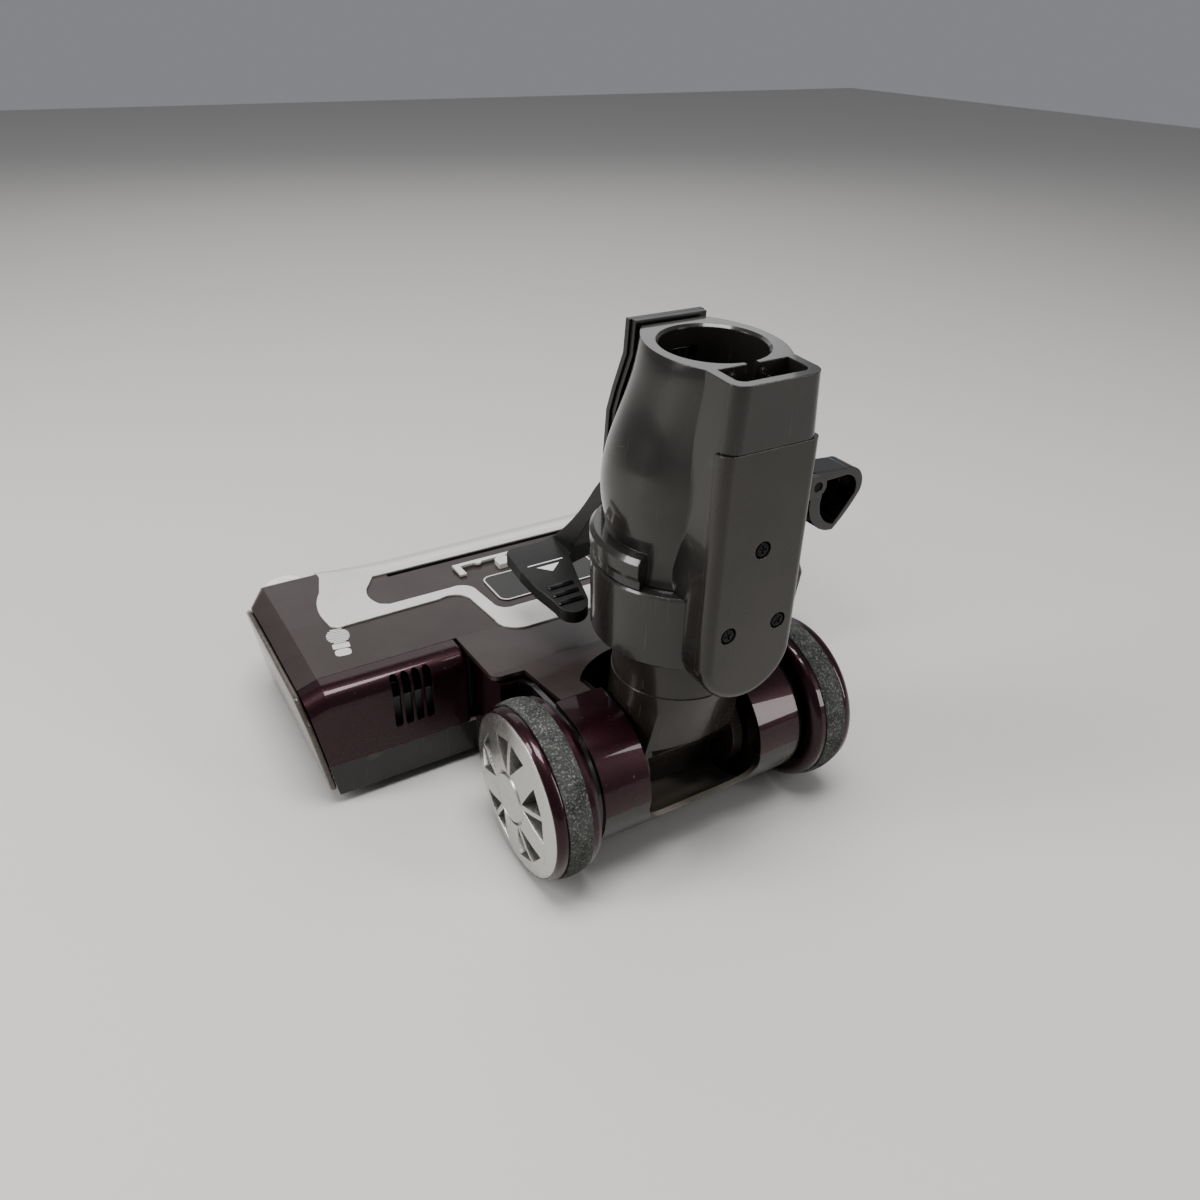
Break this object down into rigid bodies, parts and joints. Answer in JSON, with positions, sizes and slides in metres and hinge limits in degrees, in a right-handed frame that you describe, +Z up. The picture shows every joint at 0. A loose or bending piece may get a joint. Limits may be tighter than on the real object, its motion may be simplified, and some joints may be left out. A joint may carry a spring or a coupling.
{
  "type": "vacuum floor nozzle",
  "caption": "Motorised vacuum floor nozzle with wide low head, rear wheels, tilting swivel neck, wand socket, release pedal and brush roll.",
  "frame": {"origin": "bottom centre of the whole object's box, on the floor the wheels stand on", "axes": "+X across the head to the user's left, -Y is the head's front, +Z is up along the upright neck"},
  "size_m": [0.3484, 0.2947, 0.2738],
  "materials": {
    "cover_taupe": "semi-gloss, scratched",
    "trim_silver": "satin silver paint",
    "housing_burgundy": "glossy metallic burgundy",
    "cap_grey": "gloss, scratched",
    "arch_black": "dusty black",
    "wheel_burgundy": "glossy burgundy",
    "tyre_grey": "dusty rubber",
    "hub_silver": "satin silver",
    "steel": "plain",
    "bush_plastic": "moulded",
    "roller_black": "moulded",
    "screw_black": "blackened",
    "pin_brass": "plated",
    "brush_wood": "moulded",
    "bristle": "nylon tufts",
    "belt_rubber": "plain",
    "neck_grey": "gloss, scratched",
    "neck_cover": "semi-gloss",
    "shell_black": "moulded",
    "pedal_grey": "moulded",
    "lever_black": "gloss",
    "lens_clear": "translucent",
    "slider_white": "moulded"
  },
  "bodies": {
    "head": {"top_cover": "cover_taupe", "silver_trim": "trim_silver", "base": "cap_grey", "motor_case": "steel", "drive_belt": "belt_rubber", "sole_screws": "screw_black", "height_frame": "slider_white", "label_plate": "shell_black", "rear_housing_left": "housing_burgundy", "end_cap_left": "cap_grey", "shoulder_left": "housing_burgundy", "pivot_bush_left": "bush_plastic", "wheel_arch_left": "arch_black", "stub_axle_left": "steel", "roller_pin_left": "steel", "brush_bearing_left": "bush_plastic", "headlight_lens_left": "lens_clear", "rear_housing_right": "housing_burgundy", "end_cap_right": "cap_grey", "shoulder_right": "housing_burgundy", "pivot_bush_right": "bush_plastic", "wheel_arch_right": "arch_black", "stub_axle_right": "steel", "roller_pin_right": "steel", "brush_bearing_right": "bush_plastic", "headlight_lens_right": "lens_clear"},
    "wheel_left": {"wheel_rim_left": "wheel_burgundy", "tyre_left": "tyre_grey", "hub_cap_left": "hub_silver"},
    "roller_left": {"roller_left": "roller_black"},
    "wheel_right": {"wheel_rim_right": "wheel_burgundy", "tyre_right": "tyre_grey", "hub_cap_right": "hub_silver"},
    "roller_right": {"roller_right": "roller_black"},
    "brush": {"brush_roll": "brush_wood", "bristle_row_1": "bristle", "bristle_row_2": "bristle"},
    "motor_rotor": {"motor_shaft": "steel", "motor_pulley": "steel"},
    "elbow": {"elbow": "neck_grey"},
    "neck": {"neck_collar": "neck_grey", "swivel_ring": "bush_plastic", "neck_body": "neck_grey", "rear_cover": "neck_cover", "cover_screws": "screw_black", "connector_block": "shell_black", "contact_pins": "pin_brass", "front_shell": "shell_black", "front_cover": "neck_cover", "pedal_pin": "steel", "lever_pin": "steel"},
    "wand_pedal": {"wand_pedal": "pedal_grey"},
    "wand_latch": {"wand_latch": "shell_black"},
    "handle_lever": {"handle_lever": "lever_black"},
    "height_slider": {"height_slider": "slider_white"}
  },
  "joints": [
    {"name": "neck_tilt", "type": "hinge", "parent": "head", "child": "elbow", "pos_m": [0, 0.08925, 0.0475], "axis": [-1, 0, 0], "range_deg": [0, 70]},
    {"name": "neck_swivel", "type": "hinge", "parent": "elbow", "child": "neck", "pos_m": [0, 0.09125, 0.14], "axis": [0, 0, 1], "range_deg": [-50, 50]},
    {"name": "wheel_left_spin", "type": "hinge", "parent": "head", "child": "wheel_left", "pos_m": [0.08, 0.08925, 0.0475], "axis": [1, 0, 0], "continuous": true},
    {"name": "wheel_right_spin", "type": "hinge", "parent": "head", "child": "wheel_right", "pos_m": [-0.08, 0.08925, 0.0475], "axis": [1, 0, 0], "continuous": true},
    {"name": "roller_left_spin", "type": "hinge", "parent": "head", "child": "roller_left", "pos_m": [0.048, -0.05875, 0.009], "axis": [1, 0, 0], "continuous": true},
    {"name": "roller_right_spin", "type": "hinge", "parent": "head", "child": "roller_right", "pos_m": [-0.048, -0.05875, 0.009], "axis": [1, 0, 0], "continuous": true},
    {"name": "brush_spin", "type": "hinge", "parent": "head", "child": "brush", "pos_m": [0, -0.10275, 0.03], "axis": [1, 0, 0], "continuous": true},
    {"name": "motor_spin", "type": "hinge", "parent": "head", "child": "motor_rotor", "pos_m": [0.13, -0.03875, 0.042], "axis": [1, 0, 0], "continuous": true},
    {"name": "pedal_press", "type": "hinge", "parent": "neck", "child": "wand_pedal", "pos_m": [0, 0.04025, 0.19], "axis": [1, 0, 0], "range_deg": [0, 8], "stiffness_Nm_per_rad": 1.2, "springref_deg": -3.44},
    {"name": "latch_slide", "type": "slide", "parent": "neck", "child": "wand_latch", "axis": [0, -1, 0], "range_m": [0, 0.0035]},
    {"name": "lever_press", "type": "hinge", "parent": "neck", "child": "handle_lever", "pos_m": [-0.042, 0.11925, 0.207], "axis": [0, -1, 0], "range_deg": [0, 12], "stiffness_Nm_per_rad": 0.6, "springref_deg": -5.73},
    {"name": "height_set", "type": "slide", "parent": "head", "child": "height_slider", "axis": [-1, 0, 0], "range_m": [0, 0.028]}
  ],
  "couplings": [
    {"joint": "motor_spin", "follows": "brush_spin", "ratio": 2.1429},
    {"joint": "latch_slide", "follows": "pedal_press", "m_per_rad": 0.025067}
  ]
}
